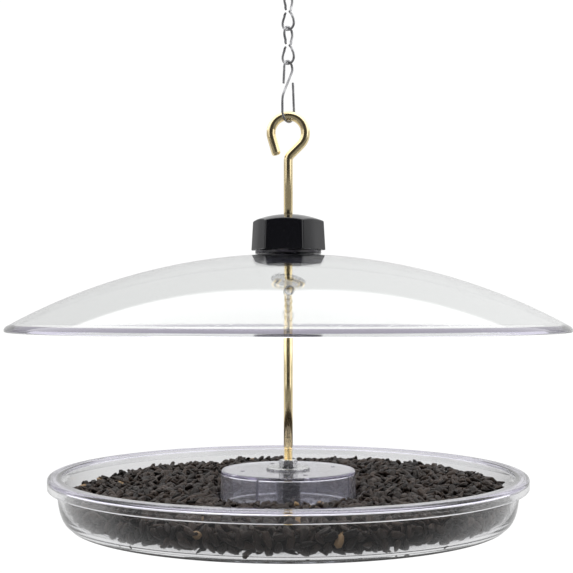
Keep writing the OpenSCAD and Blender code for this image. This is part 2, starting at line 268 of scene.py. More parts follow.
def clear_plastic(name, tint, depth_colour, density, haze, ring=None, clear=1.0):
    """Cast clear plastic: faint scratches, a little dust, and tinted in its depth.

    A ring is (inner radius, low level, high level, softness, colour): a band where that colour is painted
    in, for the painted shade and painted reflections seen at an edge.
    Clear is how much of it lets light through; the rest is a pale bloom.
    """
    made, tree, shader, coords = blank(name)
    set_plain(shader, Base_Color=(*tint, 1), IOR=1.49, Transmission_Weight=clear)
    # A ring paints its colour into the plastic: painted shade and painted reflections along an edge
    if ring:
        *bounds, painted_band_colour = ring
        mask = ring_mask(tree, coords, *bounds)
        feed(tree, shader, Base_Color=blend_colour(tree, mask, tint, painted_band_colour))
    lines = effect(tree, SCRATCHES, Vector=coords, Scale=45, Amount=0.5)
    specks = effect(tree, DUST, Vector=coords, Scale=170, Amount=0.5)
    cloud = effect(tree, MOTTLE, Vector=coords, Scale=14, Low=haze * 0.4, High=haze * 1.6)
    rough = plus(tree, cloud, specks, 0.4)
    rough = plus(tree, rough, lines, 0.1)
    feed(tree, shader, Roughness=rough)
    bumped(tree, shader, lines, 0.15, 0.02 * MM)
    lamp_side = add(tree, "ShaderNodeBsdfTransparent", {"Color": (0.95, 0.95, 0.96, 1)})
    path = tree.nodes.new("ShaderNodeLightPath")
    mix = tree.nodes.new("ShaderNodeMixShader")
    tree.links.new(path.outputs["Is Shadow Ray"], mix.inputs[0])
    tree.links.new(shader.outputs[0], mix.inputs[1])
    tree.links.new(lamp_side.outputs[0], mix.inputs[2])
    out = tree.nodes["Material Output"]
    tree.links.new(mix.outputs[0], out.inputs["Surface"])
    deep = add(tree, "ShaderNodeVolumeAbsorption", {"Color": (*depth_colour, 1), "Density": density})
    tree.links.new(deep.outputs[0], out.inputs["Volume"])
    return made


def brass():
    """Drawn brass with drawing lines, finger marks and a brown tarnish in patches."""
    made, tree, shader, coords = blank("brass")
    set_plain(shader, Metallic=1.0)
    tarnish = effect(tree, MOTTLE, Vector=coords, Scale=120, Low=0.0, High=0.4)
    lines = effect(tree, SCRATCHES, Vector=coords, Scale=160, Amount=1.0)
    colour = blend_colour(tree, tarnish, (0.95, 0.81, 0.50), (0.62, 0.45, 0.22))
    feed(tree, shader, Base_Color=colour)
    rough = effect(tree, MOTTLE, Vector=coords, Scale=260, Low=0.12, High=0.21)
    rough = plus(tree, rough, lines, 0.08)
    feed(tree, shader, Roughness=rough)
    bumped(tree, shader, lines, 0.2, 0.02 * MM)
    return made


def plated_steel(name, light, dark, rough_low, rough_high):
    """Zinc-plated steel: cloudy plating, scratches, and dull spots."""
    made, tree, shader, coords = blank(name)
    set_plain(shader, Metallic=1.0)
    cloud = effect(tree, MOTTLE, Vector=coords, Scale=210, Low=0.0, High=1.0)
    lines = effect(tree, SCRATCHES, Vector=coords, Scale=120, Amount=1.0)
    spots = effect(tree, DUST, Vector=coords, Scale=600, Amount=0.7)
    colour = blend_colour(tree, cloud, light, dark)
    colour = blend_colour(tree, spots, colour, (0.1, 0.09, 0.08))
    feed(tree, shader, Base_Color=colour)
    rough = effect(tree, MOTTLE, Vector=coords, Scale=340, Low=rough_low, High=rough_high)
    rough = plus(tree, rough, lines, 0.15)
    feed(tree, shader, Roughness=rough)
    bumped(tree, shader, maths(tree, "ADD", cloud, lines), 0.15, 0.03 * MM)
    return made


def moulded_black(name, colour, rough_low, rough_high, grain):
    """Moulded black plastic or rubber: fine grain, rubbed edges and a little dust."""
    made, tree, shader, coords = blank(name)
    set_plain(shader, IOR=1.5)
    worn = effect(tree, WEAR, Vector=coords, Width=0.5 * MM, Amount=0.25)
    specks = effect(tree, DUST, Vector=coords, Scale=420, Amount=0.35)
    marks = maths(tree, "MAXIMUM", worn, specks)
    feed(tree, shader, Base_Color=blend_colour(tree, marks, colour, (0.16, 0.16, 0.165)))
    rough = effect(tree, MOTTLE, Vector=coords, Scale=180, Low=rough_low, High=rough_high)
    lines = effect(tree, SCRATCHES, Vector=coords, Scale=90, Amount=1.0)
    rough = plus(tree, rough, lines, 0.08)
    rough = plus(tree, rough, marks, 0.2)
    feed(tree, shader, Roughness=rough)
    pores = effect(tree, MOTTLE, Vector=coords, Scale=2600, Low=0.0, High=1.0)
    bumped(tree, shader, pores, grain, 0.02 * MM)
    return made


def seed_husk():
    """Sunflower husk: near black, with paler stripes along it and a few tan husks among them."""
    made, tree, shader, _ = blank("seed_husk")
    set_plain(shader, Specular_IOR_Level=0.22)
    chance = add(tree, "ShaderNodeAttribute", attribute_name="husk_tone").outputs["Fac"]
    along = add(tree, "ShaderNodeAttribute", attribute_name="husk_place").outputs["Vector"]
    stretched = add(tree, "ShaderNodeMapping", {"Vector": along, "Scale": (0.12, 1.6, 1.6)})
    field = add(tree, "ShaderNodeTexNoise",
                {"Vector": stretched.outputs[0], "Scale": 900, "Detail": 2})
    stripe = ranged(tree, field.outputs["Fac"], 0.52, 0.68, 0, 1)
    stripe = maths(tree, "MULTIPLY", stripe, ranged(tree, chance, 0.0, 1.0, 0.15, 0.8))
    shade = blend_colour(tree, chance, (0.005, 0.0035, 0.003), (0.028, 0.018, 0.013))
    shade = blend_colour(tree, stripe, shade, (0.15, 0.11, 0.08))
    tan = ranged(tree, chance, 0.992, 0.996, 0, 0.85)
    feed(tree, shader, Base_Color=blend_colour(tree, tan, shade, (0.24, 0.16, 0.085)),
         Roughness=ranged(tree, field.outputs["Fac"], 0.3, 0.7, 0.42, 0.62))
    bumped(tree, shader, field.outputs["Fac"], 0.4, 0.15 * MM)
    return made


cover_foot = foot_of("dome_cover")
# The cover's band is painted shade: a dark purple line along the crease where the upright foot band meets
# the dome
CLEAR_COVER = clear_plastic(
    "clear_cover", (0.985, 0.992, 0.985), (0.78, 0.82, 0.84), 30.0, 0.012,
    (radius_of("dome_cover") - 3.5 * MM, cover_foot + 2.2 * MM, cover_foot + 4.4 * MM, 0.4 * MM,
     (0.16, 0.14, 0.21)))
# The dish's band is a painted reflection: a lilac band over the top of the rim, standing in for the dark
# seeds seen in it
CLEAR_DISH = clear_plastic(
    "clear_dish", (0.975, 0.975, 0.98), (0.74, 0.76, 0.79), 22.0, 0.02,
    (radius_of("seed_dish") - 9.2 * MM, rim_z - 1.8 * MM, rim_z, 0.4 * MM, (0.62, 0.59, 0.72)))
CLEAR_HUB = clear_plastic("clear_hub", (0.95, 0.95, 0.985), (0.72, 0.66, 0.86), 28.0, 0.03, clear=0.98)
BRASS = brass()
ZINC_WIRE = plated_steel("zinc_wire", (0.46, 0.46, 0.47), (0.24, 0.24, 0.25), 0.22, 0.42)
ZINC_PLATE = plated_steel("zinc_plate", (0.60, 0.60, 0.61), (0.38, 0.38, 0.38), 0.18, 0.34)
GLOSS_BLACK = moulded_black("gloss_black", (0.006, 0.006, 0.008), 0.05, 0.12, 0.02)
WASHER_BLACK = moulded_black("satin_black", (0.02, 0.018, 0.024), 0.2, 0.35, 0.1)
POST_BLACK = moulded_black("post_black", (0.012, 0.012, 0.015), 0.2, 0.3, 0.06)
COLLET_GREY = moulded_black("collet_grey", (0.085, 0.082, 0.11), 0.15, 0.32, 0.1)
RUBBER = moulded_black("rubber", (0.02, 0.02, 0.021), 0.6, 0.8, 0.3)
HUSK = seed_husk()

# ---------------------------------------------------------------- mesh helpers


def rounded(corners, steps=4):
    """A closed outline with its corners rounded. A corner is (radius, level, rounding).

    A point just outside each rounding keeps the flat beside it flat when it is shaded smooth.
    """
    points = []
    for i, (across, up, size) in enumerate(corners):
        here = Vector((across, up))
        if size == 0:
            points.append(here)
            continue
        back = (Vector(corners[i - 1][:2]) - here).normalized()
        ahead = (Vector(corners[(i + 1) % len(corners)][:2]) - here).normalized()
        half = back.angle(ahead) / 2
        reach = size / math.tan(half)
        middle = here + (back + ahead).normalized() * size / math.sin(half)
        spoke = here + back * reach - middle
        turn = math.pi - 2 * half
        if back.x * ahead.y - back.y * ahead.x > 0:
            turn = -turn
        points.append(here + back * reach * 1.25)
        for k in range(steps + 1):
            a = turn * k / steps
            points.append(middle + Matrix.Rotation(a, 2) @ spoke)
        points.append(here + ahead * reach * 1.25)
    return points


def arc(middle, radius, start, end, steps):
    """Points of an arc in the section, from one angle to another, in degrees."""
    angles = [math.radians(start + (end - start) * k / steps) for k in range(steps + 1)]
    return [Vector((middle[0] + radius * math.cos(a), middle[1] + radius * math.sin(a))) for a in angles]


def finished(mesh, sharp=40):
    """Faces outwards, smooth, and sharp where two faces meet at more than an angle."""
    work = bmesh.new()
    work.from_mesh(mesh)
    bmesh.ops.recalc_face_normals(work, faces=work.faces)
    work.to_mesh(mesh)
    work.free()
    mesh.shade_smooth()
    mesh.set_sharp_from_angle(angle=math.radians(sharp))
    return mesh


def turned(name, outline, angles):
    """A ring-shaped solid: a closed outline carried round the upright axis.

    The outline is a list of (radius, level), or a function that gives one for each angle.
    """
    if isinstance(angles, int):
        angles = [2 * math.pi * k / angles for k in range(angles)]
    verts, count = [], 0
    for a in angles:
        section = outline(a) if callable(outline) else outline
        count = len(section)
        verts += [(r * math.cos(a), r * math.sin(a), z) for r, z in section]
    faces = []
    for i in range(len(angles)):
        k = (i + 1) % len(angles)
        for j in range(count):
            m = (j + 1) % count
            faces.append((i * count + j, i * count + m, k * count + m, k * count + j))
    mesh = bpy.data.meshes.new(name)
    mesh.from_pydata(verts, [], faces)
    return finished(mesh)


def place(name, mesh, body, nodes, material=None):
    """A finished piece: it rides on its body and stands for its CAD nodes."""
    piece = bpy.data.objects.new(name, mesh)
    scene.collection.objects.link(piece)
    if material is not None:
        mesh.materials.clear()
        mesh.materials.append(material)
    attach(piece, body)
    if nodes:
        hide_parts(*nodes)
    return piece


def grow(name, tree, base, **inputs):
    """The mesh that a Geometry Nodes tree makes from a base mesh."""
    holder = bpy.data.objects.new(name, base)
    scene.collection.objects.link(holder)
    modifier = holder.modifiers.new(name, "NODES")
    modifier.node_group = tree
    for item in tree.interface.items_tree:
        if item.item_type == "SOCKET" and item.in_out == "INPUT" and item.name in inputs:
            modifier[item.identifier] = inputs[item.name]
    made = bpy.data.meshes.new_from_object(holder.evaluated_get(bpy.context.evaluated_depsgraph_get()))
    made.name = name
    holder.modifiers.remove(modifier)
    bpy.data.objects.remove(holder)
    return made


GEOMETRY, INTEGER, STUFF = "NodeSocketGeometry", "NodeSocketInt", "NodeSocketMaterial"


def end_tree(tree, geometry, given, result):
    """Ends a tree: real geometry, smooth, with its material."""
    real = add(tree, "GeometryNodeRealizeInstances", {"Geometry": geometry})
    smooth = add(tree, "GeometryNodeSetShadeSmooth", {"Geometry": real.outputs[0]})
    painted = add(tree, "GeometryNodeSetMaterial",
                  {"Geometry": smooth.outputs[0], "Material": given.outputs["Material"]})
    tree.links.new(painted.outputs[0], result.inputs["Geometry"])


def wire_tree():
    """Round wire along a path of edges. The path's width attribute thins or swells it."""
    inputs = [("Geometry", GEOMETRY, None), ("Wire Radius", FLOAT, 0.001), ("Sides", INTEGER, 16),
              ("Material", STUFF, None)]
    tree, given, result = group("wire_along_path", "GeometryNodeTree", inputs, [("Geometry", GEOMETRY)])
    path = add(tree, "GeometryNodeMeshToCurve", {"Mesh": given.outputs["Geometry"]})
    width = add(tree, "GeometryNodeInputNamedAttribute", {"Name": "width"}, data_type="FLOAT")
    section = add(tree, "GeometryNodeCurvePrimitiveCircle",
                  {"Resolution": given.outputs["Sides"], "Radius": given.outputs["Wire Radius"]})
    swept = add(tree, "GeometryNodeCurveToMesh",
                {"Curve": path.outputs[0], "Profile Curve": section.outputs[0],
                 "Scale": width.outputs["Attribute"], "Fill Caps": True})
    end_tree(tree, swept.outputs[0], given, result)
    return tree


def thread_tree():
    """A screw thread's ridge: a helix up the rod, from a start level."""
    inputs = [("Geometry", GEOMETRY, None), ("Turns", FLOAT, 10), ("Pitch", FLOAT, 0.00127),
              ("Helix Radius", FLOAT, 0.003), ("Ridge Radius", FLOAT, 0.0005),
              ("Start Level", FLOAT, 0), ("Material", STUFF, None)]
    tree, given, result = group("screw_thread", "GeometryNodeTree", inputs, [("Geometry", GEOMETRY)])
    height = maths(tree, "MULTIPLY", given.outputs["Turns"], given.outputs["Pitch"])
    helix = add(tree, "GeometryNodeCurveSpiral",
                {"Resolution": 20, "Rotations": given.outputs["Turns"], "Height": height,
                 "Start Radius": given.outputs["Helix Radius"],
                 "End Radius": given.outputs["Helix Radius"]})
    ridge = add(tree, "GeometryNodeCurvePrimitiveCircle",
                {"Resolution": 7, "Radius": given.outputs["Ridge Radius"]})
    swept = add(tree, "GeometryNodeCurveToMesh",
                {"Curve": helix.outputs[0], "Profile Curve": ridge.outputs[0], "Fill Caps": True})
    offset = add(tree, "ShaderNodeCombineXYZ", {"Z": given.outputs["Start Level"]})
    lifted = add(tree, "GeometryNodeTransform",
                 {"Geometry": swept.outputs[0], "Translation": offset.outputs[0]})
    end_tree(tree, lifted.outputs[0], given, result)
    return tree


WIRE, THREAD = wire_tree(), thread_tree()


def path_mesh(points, widths=None, closed=False):
    """A path as edges, with a width for each point."""
    mesh = bpy.data.meshes.new("path")
    count = len(points)
    edges = [(i, i + 1) for i in range(count - 1)] + ([(count - 1, 0)] if closed else [])
    mesh.from_pydata([tuple(p) for p in points], edges, [])
    width = mesh.attributes.new("width", "FLOAT", "POINT")
    width.data.foreach_set("value", widths or [1.0] * count)
    return mesh


def blunt(points, radius):
    """A path whose two ends are drawn in, and the widths that round them off."""
    drawn = [(0.0, 0.55), (0.12, 0.82), (0.35, 0.96), (0.7, 1.0)]
    first = (points[1] - points[0]).normalized()
    last = (points[-2] - points[-1]).normalized()
    start = [points[0] + first * radius * s for s, _ in drawn]
    end = [points[-1] + last * radius * s for s, _ in reversed(drawn)]
    widths = [w for _, w in drawn] + [1.0] * (len(points) - 2) + [w for _, w in reversed(drawn)]
    return start + points[1:-1] + end, widths


def wire(name, points, radius, sides, material, closed=False):
    """Wire bent along a path, with blunt ends."""
    widths = None
    if not closed:
        points, widths = blunt(points, radius)
    base = path_mesh(points, widths, closed)
    mesh = grow(name, WIRE, base, **{"Wire Radius": radius, "Sides": sides, "Material": material})
    mesh.set_sharp_from_angle(angle=math.radians(50))
    return mesh


# ---------------------------------------------------------------- chain and hooks

link_len, link_w = 27 * MM, 10 * MM
link_rise = (link_len - 2 * wire_r) / 2
link_half = link_w / 2 - wire_r
twist_len = 3.2 * MM
hook_len, hook_small_w, hook_large_w = 43.6 * MM, 11.4 * MM, 15.8 * MM
short_end, long_end = 11.2 * MM, 20.5 * MM
waist = 0.98 * MM
end_gap = 0.8 * MM
loop_swell = 0.77          # greatest value of sin(t) * sin(t / 2), where a loop is widest


def loop_point(offset, level):
    """A point of the link's wire. The wire's plane makes a quarter turn at the waist."""
    turn = chain_turn - math.radians(45) + math.radians(45) * max(-1, min(1, level / twist_len))
    return Vector((offset * math.cos(turn), offset * math.sin(turn), level))


def drop_point(t, side):
    """A point of a teardrop loop, from the waist at 0 round to the waist at a full turn."""
    swell = link_half / loop_swell * math.sin(t) * math.sin(t / 2)
    rise = link_rise * (1 - math.cos(t)) / 2
    return loop_point(swell + waist * math.cos(t / 2), side * rise)


def link_points():
    """The wire of a double-loop chain link: up round one loop, across the waist, down round the other."""
    step = math.radians(7.5)
    start = math.acos(1 - 2 * end_gap / link_rise)
    turns = [step * k for k in range(1, 48) if step * k < 2 * math.pi - start]
    upper = [drop_point(t, 1) for t in reversed(turns)]
    lower = [drop_point(t, -1) for t in turns]
    return upper + [loop_point(waist, 0)] + lower


for number in (1, 2):
    node = f"chain_link_{number}"
    middle = Vector((0, 0, (top_of(node) + foot_of(node)) / 2))
    link = wire(node, [middle + p for p in link_points()], wire_r, 20, ZINC_WIRE)
    place(node, link, f"link_{number}", [node])


hook_slack = 0.03 * MM     # keeps the wire clear of the eye when the feeder swings


def hook_points(turn, top):
    """The S-hook's wire: a short leg, a small bend, a leaning back, a shoulder, a large bend, a long leg."""
    span = hook_len - 2 * wire_r
    small, large = hook_small_w / 2 - wire_r, hook_large_w / 2 - wire_r
    lean_in, shoulder_r, shoulder_drop = 4, 12 * MM, 6.5 * MM
    upper, lower = Vector((0, -small)), Vector((0, large - span))
    shoulder = Vector((shoulder_r - large, lower.y + shoulder_drop))
    across = shoulder - upper
    lean = math.asin((small + shoulder_r) / across.length) - math.atan2(across.x, -across.y)
    back_lean = math.degrees(lean)
    bend_1 = arc(upper, small, 180 + lean_in, -back_lean, 36)
    bend_2 = arc(shoulder, shoulder_r, 180 - back_lean, 180, 10)
    bend_3 = arc(lower, large, 180, 360 + lean_in, 36)
    tilt = math.radians(lean_in)
    short_leg = bend_1[0] - short_end * Vector((math.sin(tilt), math.cos(tilt)))
    long_leg = bend_3[-1] + long_end * Vector((-math.sin(tilt), math.cos(tilt)))
    flat = [short_leg, *bend_1, *bend_2, *bend_3[1:], long_leg]
    spin = Matrix.Rotation(turn, 3, "Z")
    return [spin @ Vector((p.x, 0, p.y)) + Vector((0, 0, top)) for p in flat]


for node, body, turn in (("top_hook", "hanger", chain_turn - math.pi / 2), ("s_hook", "hook", chain_turn)):
    hook = wire(node, hook_points(turn, top_of(node) - wire_r), wire_r - hook_slack, 20, ZINC_WIRE)
    place(node, hook, body, [node])

# ---------------------------------------------------------------- rod


def rod_points():
    """The rod from its foot to the open end of its eye."""
    bend_r, eye_end, tail = 6 * MM, 196, 12.5 * MM
    heel = arc((0, eye_z), eye_r, -45, -45, 1)[0]
    knee = bend_r * (1 - math.cos(math.radians(45)))
    bend_z = heel.y - (heel.x - knee) - bend_r * math.sin(math.radians(45))
    eye = arc((0, eye_z), eye_r, -45, eye_end, 64)
    along = math.radians(eye_end)
    free_end = eye[-1] - tail * Vector((math.sin(along), -math.cos(along)))
    flat = [Vector((0, foot_of("hanger_rod"))), Vector((0, bend_z))]
    flat += arc((bend_r, bend_z), bend_r, 180, 135, 10) + eye + [free_end]
    return [Vector((p.x, 0, p.y)) for p in flat]


upper_thread = (crown_z - 54 * MM, foot_of("lock_knob") + 4 * MM)
lower_thread = (foot_of("hanger_rod"), top_of("hub_nut") + 9 * MM)
thread_root = 0.8          # share of the rod's radius left at the thread's root
rod_slack = 0.06 * MM      # keeps the eye clear of the hook when the feeder swings


def rod_mesh():
    """The rod's bar, turned down to the thread's root where it is threaded."""
    points, widths = blunt(rod_points(), rod_r)
    shank, shank_widths = [], []
    for low, high in (lower_thread, upper_thread):
        for level, width in ((low, 1.0), (low + 0.6 * MM, thread_root),
                             (high - 0.6 * MM, thread_root), (high, 1.0)):
            shank.append(Vector((0, 0, level)))
            shank_widths.append(width)
    points = shank[1:] + points[4:]
    widths = shank_widths[1:] + widths[4:]
    points.insert(0, Vector((0, 0, foot_of("hanger_rod"))))
    widths.insert(0, thread_root * 0.9)
    inputs = {"Wire Radius": rod_r - rod_slack, "Sides": 40, "Material": BRASS}
    mesh = grow("hanger_rod", WIRE, path_mesh(points, widths), **inputs)
    mesh.set_sharp_from_angle(angle=math.radians(50))
    return mesh


place("hanger_rod", rod_mesh(), "feeder", ["hanger_rod"])
ridge = 0.42 * MM
for name, (low, high) in (("rod_thread_upper", upper_thread), ("rod_thread_lower", lower_thread)):
    inputs = {"Turns": (high - low) / thread_pitch - 1.4, "Pitch": thread_pitch,
              "Helix Radius": rod_r - ridge - 0.03 * MM, "Ridge Radius": ridge,
              "Start Level": low + 0.7 * thread_pitch, "Material": BRASS}
    ridge_mesh = grow(name, THREAD, bpy.data.meshes.new("none"), **inputs)
    place(name, ridge_mesh, "feeder", [])

# ---------------------------------------------------------------- knob and clamp

knob_z = foot_of("lock_knob")
knob_h = top_of("lock_knob") - knob_z
knob_turn = math.radians(-8.4)
corner_r = 2.2 * MM
knob_r = (radius_of("lock_knob") - corner_r) / math.cos(knob_turn) + corner_r


def knob_angles():
    """Angles round the knob: close together at each rounded corner, spread over each flat."""
    spread = []
    reach = knob_r - corner_r
    for k in range(7):
        a = math.radians(-30 + 10 * k)
        spread.append(math.atan2(corner_r * math.sin(a), reach + corner_r * math.cos(a)))
    edge = spread[-1]
    flat = math.radians(60) - 2 * edge
    spread += [edge + flat * share for share in (0.03, 0.1, 0.25, 0.4, 0.5, 0.6, 0.75, 0.9, 0.97)]
    return [knob_turn + math.radians(60 * side) + a for side in range(6) for a in spread]


def hex_reach(angle, radius, soft):
    """Distance from the axis to the side of a soft-cornered hexagon, at an angle from a corner."""
    off = (math.degrees(angle) + 30) % 60 - 30
    off = abs(math.radians(off))
    reach = radius - soft
    apothem = reach * math.cos(math.radians(30)) + soft
    if off < math.atan2(soft * 0.5, reach + soft * math.cos(math.radians(30))):
        return reach * math.cos(off) + math.sqrt(soft**2 - (reach * math.sin(off)) ** 2)
    return apothem / math.cos(math.radians(30) - off)


def knob_section(angle):
    """The knob's wall at an angle: tapered side, crowned top, and a stepped bore."""
    crown_r = 63.4 * MM
    bore, rod_hole, nose = 9.55 * MM, rod_r + 0.4 * MM, 7.05 * MM
    bore_end, nose_foot, nose_end = 12 * MM, 17 * MM, 17.5 * MM
    bulge, taper = 0.35 * MM, 1.8 * MM
    side = hex_reach(angle - knob_turn, knob_r, corner_r)
    off = abs((math.degrees(angle - knob_turn) % 60) - 30) / 30
    side += bulge * (1 - off**2)

    def side_at(level):
        return side - taper * level / knob_h

    def crown_at(radius):
        return knob_h - crown_r + math.sqrt(crown_r**2 - radius**2)

    shoulder = crown_at(side_at(0.8 * knob_h))
    corners = [(bore, 0, 0.4 * MM), (side - 0.3 * MM, 0, 0.7 * MM),
               (side_at(shoulder), shoulder, 1.1 * MM)]
    for k in range(1, 7):
        radius = rod_hole + (side_at(shoulder) - 3 * MM - rod_hole) * (1 - k / 6)
        corners.append((radius, crown_at(radius), 0 if k < 6 else 0.5 * MM))
    corners += [(rod_hole, nose_end, 0), (nose, nose_end, 0), (nose, nose_foot, 0), (bore, bore_end, 0)]
    return [(p.x, p.y + knob_z) for p in rounded(corners, 5)]


place("lock_knob", turned("lock_knob", knob_section, knob_angles()), "knob",
      ["lock_knob"], GLOSS_BLACK)


def flat_ring(name, node, inner, rounding, steps=96):
    """A flat ring with rounded edges that fills its CAD node's box."""
    low, high, outer = foot_of(node), top_of(node), radius_of(node)
    corners = [(inner, low, rounding), (outer, low, rounding), (outer, high, rounding),
               (inner, high, rounding)]
    return turned(name, rounded(corners), steps)


tube_r = 9.5 * MM
place("knob_washer", flat_ring("knob_washer", "knob_washer", tube_r + 0.1 * MM, 0.5 * MM), "cover",
      ["knob_washer"], WASHER_BLACK)
place("dome_gasket", flat_ring("dome_gasket", "dome_gasket", tube_r + 0.1 * MM, 0.3 * MM), "cover",
      ["dome_gasket"], RUBBER)


def collet_section():
    """The collet: a flange under the cover, and a tube with a tapered nose inside the knob."""
    foot, tip = foot_of("clamp_collet"), top_of("clamp_collet")
    flange_top = foot_of("dome_gasket")
    bore, flange_foot_r, flange_top_r = rod_r + 0.05 * MM, 22.2 * MM, 25 * MM
    nose_len, nose_r = 4.9 * MM, 7 * MM
    return rounded([
        (bore, foot, 0.4 * MM), (flange_foot_r, foot, 1.0 * MM), (flange_top_r, flange_top, 0.3 * MM),
        (tube_r, flange_top, 0.2 * MM), (tube_r, tip - nose_len, 0.2 * MM), (nose_r, tip, 0.3 * MM),
        (bore, tip, 0.3 * MM)])


place("clamp_collet", turned("clamp_collet", collet_section(), 96), "cover",
      ["clamp_collet"], COLLET_GREY)

# ---------------------------------------------------------------- cover


def dome_section():
    """The cover's wall: a cap of a sphere with an upright band round its edge."""
    edge, lip, wall, hole = radius_of("dome_cover"), 3 * MM, 2 * MM, 9.7 * MM
    rise = crown_z - foot_of("dome_cover") - lip
    ball = (edge**2 + rise**2) / (2 * rise)
    middle = crown_z - ball

    def cap(radius, start, end, steps):
        points = []
        for k in range(steps + 1):
            across = start + (end - start) * k / steps
            points.append((across, middle + math.sqrt(radius**2 - across**2), 0))
        return points

    inner_edge = edge - lip - 1.4 * MM
    foot = foot_of("dome_cover")
    outer = cap(ball, hole + 0.6 * MM, edge - 1.2 * MM, 70)
    inner = cap(ball - wall, inner_edge, hole + 0.6 * MM, 70)
    corners = [(hole, outer[0][1] - 0.5 * MM, 0), *outer, (edge, foot + lip - 0.9 * MM, 0.5 * MM),
               (edge, foot, 0.7 * MM), (edge - lip, foot, 0.7 * MM), *inner,
               (hole, inner[-1][1] + 0.5 * MM, 0)]
    return rounded(corners[::-1])


place("dome_cover", turned("dome_cover", dome_section(), 240), "cover",
      ["dome_cover"], CLEAR_COVER)

# ---------------------------------------------------------------- stop washer and pin


def stop_washer():
    """A flat washer that hangs askew on the pin below the cover."""
    hole, outer, thick = 3.8 * MM, 12 * MM, 1.2 * MM
    corners = [(hole, -thick / 2, 0.25 * MM), (outer, -thick / 2, 0.3 * MM),
               (outer, thick / 2, 0.3 * MM), (hole, thick / 2, 0.25 * MM)]
    mesh = turned("stop_washer", rounded(corners, 3), 80)
    tilt = Euler((math.radians(-16), math.radians(7.5), 0)).to_matrix().to_4x4()
    mesh.transform(Matrix.Translation((0, 0, crown_z - 18 * MM)) @ tilt)
    return mesh


place("stop_washer", stop_washer(), "stop", ["stop_washer"], ZINC_PLATE)

pin_z, pin_r, ring_r, ring_wire = crown_z - 22.5 * MM, 1.1 * MM, 2.8 * MM, 0.75 * MM
pin_low, pin_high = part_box("stop_pin")
ring_y = pin_low.y + ring_wire
ring_middle = Vector((0.8 * MM, ring_y, pin_z + pin_r - ring_r - ring_wire))
pin_ring = [ring_middle + ring_r * Vector((math.sin(math.radians(a)), 0, math.cos(math.radians(a))))
            for a in range(0, 360, 10)]
pin_bar = [Vector((0, ring_y, pin_z)), Vector((0, 0, pin_z)), Vector((0, pin_high.y, pin_z))]
place("stop_pin", wire("stop_pin", pin_bar, pin_r, 24, ZINC_WIRE), "feeder", ["stop_pin"])
place("stop_pin_ring", wire("stop_pin_ring", pin_ring, ring_wire, 16, ZINC_WIRE, closed=True),
      "feeder", [])

# ---------------------------------------------------------------- washers and nuts

small_hole = rod_r + 0.25 * MM
for node in ("hub_washer", "base_washer"):
    place(node, flat_ring(node, node, small_hole, 0.35 * MM), "feeder", [node], ZINC_PLATE)
place("seal_washer", flat_ring("seal_washer", "seal_washer", small_hole, 0.3 * MM), "feeder",
      ["seal_washer"], RUBBER)


def nut_section(node):
    """A hexagon nut's wall at an angle, with chamfered corners and a countersunk bore."""
    low, high = foot_of(node), top_of(node)
    half_flat = 11.1 * MM / 2

    def section(angle):
        side = hex_reach(angle, half_flat / math.cos(math.radians(30)), 0.15 * MM)
        ring = min(side, half_flat) - 0.05 * MM
        drop = (side - ring) * math.tan(math.radians(30)) + 0.05 * MM
        bore, sink = rod_r - 0.2 * MM, 0.5 * MM
        return [(bore, low + sink), (bore + sink, low), (ring, low), (side, low + drop),
                (side, low + 2 * drop), (side, high - 2 * drop), (side, high - drop), (ring, high),
                (bore + sink, high), (bore, high - sink)]

    return section


for node in ("hub_nut", "base_nut"):
    place(node, turned(node, nut_section(node), 120), "feeder", [node], ZINC_PLATE)

# ---------------------------------------------------------------- hub

hub_top, hub_foot, hub_foot_r = top_of("hub_cover"), foot_of("hub_cover"), radius_of("hub_cover")
hub_flare = 1.0 * MM
hub_top_r = hub_foot_r - hub_flare
hub_wall, hub_plate = 2.0 * MM, 2.4 * MM
post_r = radius_of("hub_post")
rib_turn, hole_turn = math.radians(-27), math.radians(20)


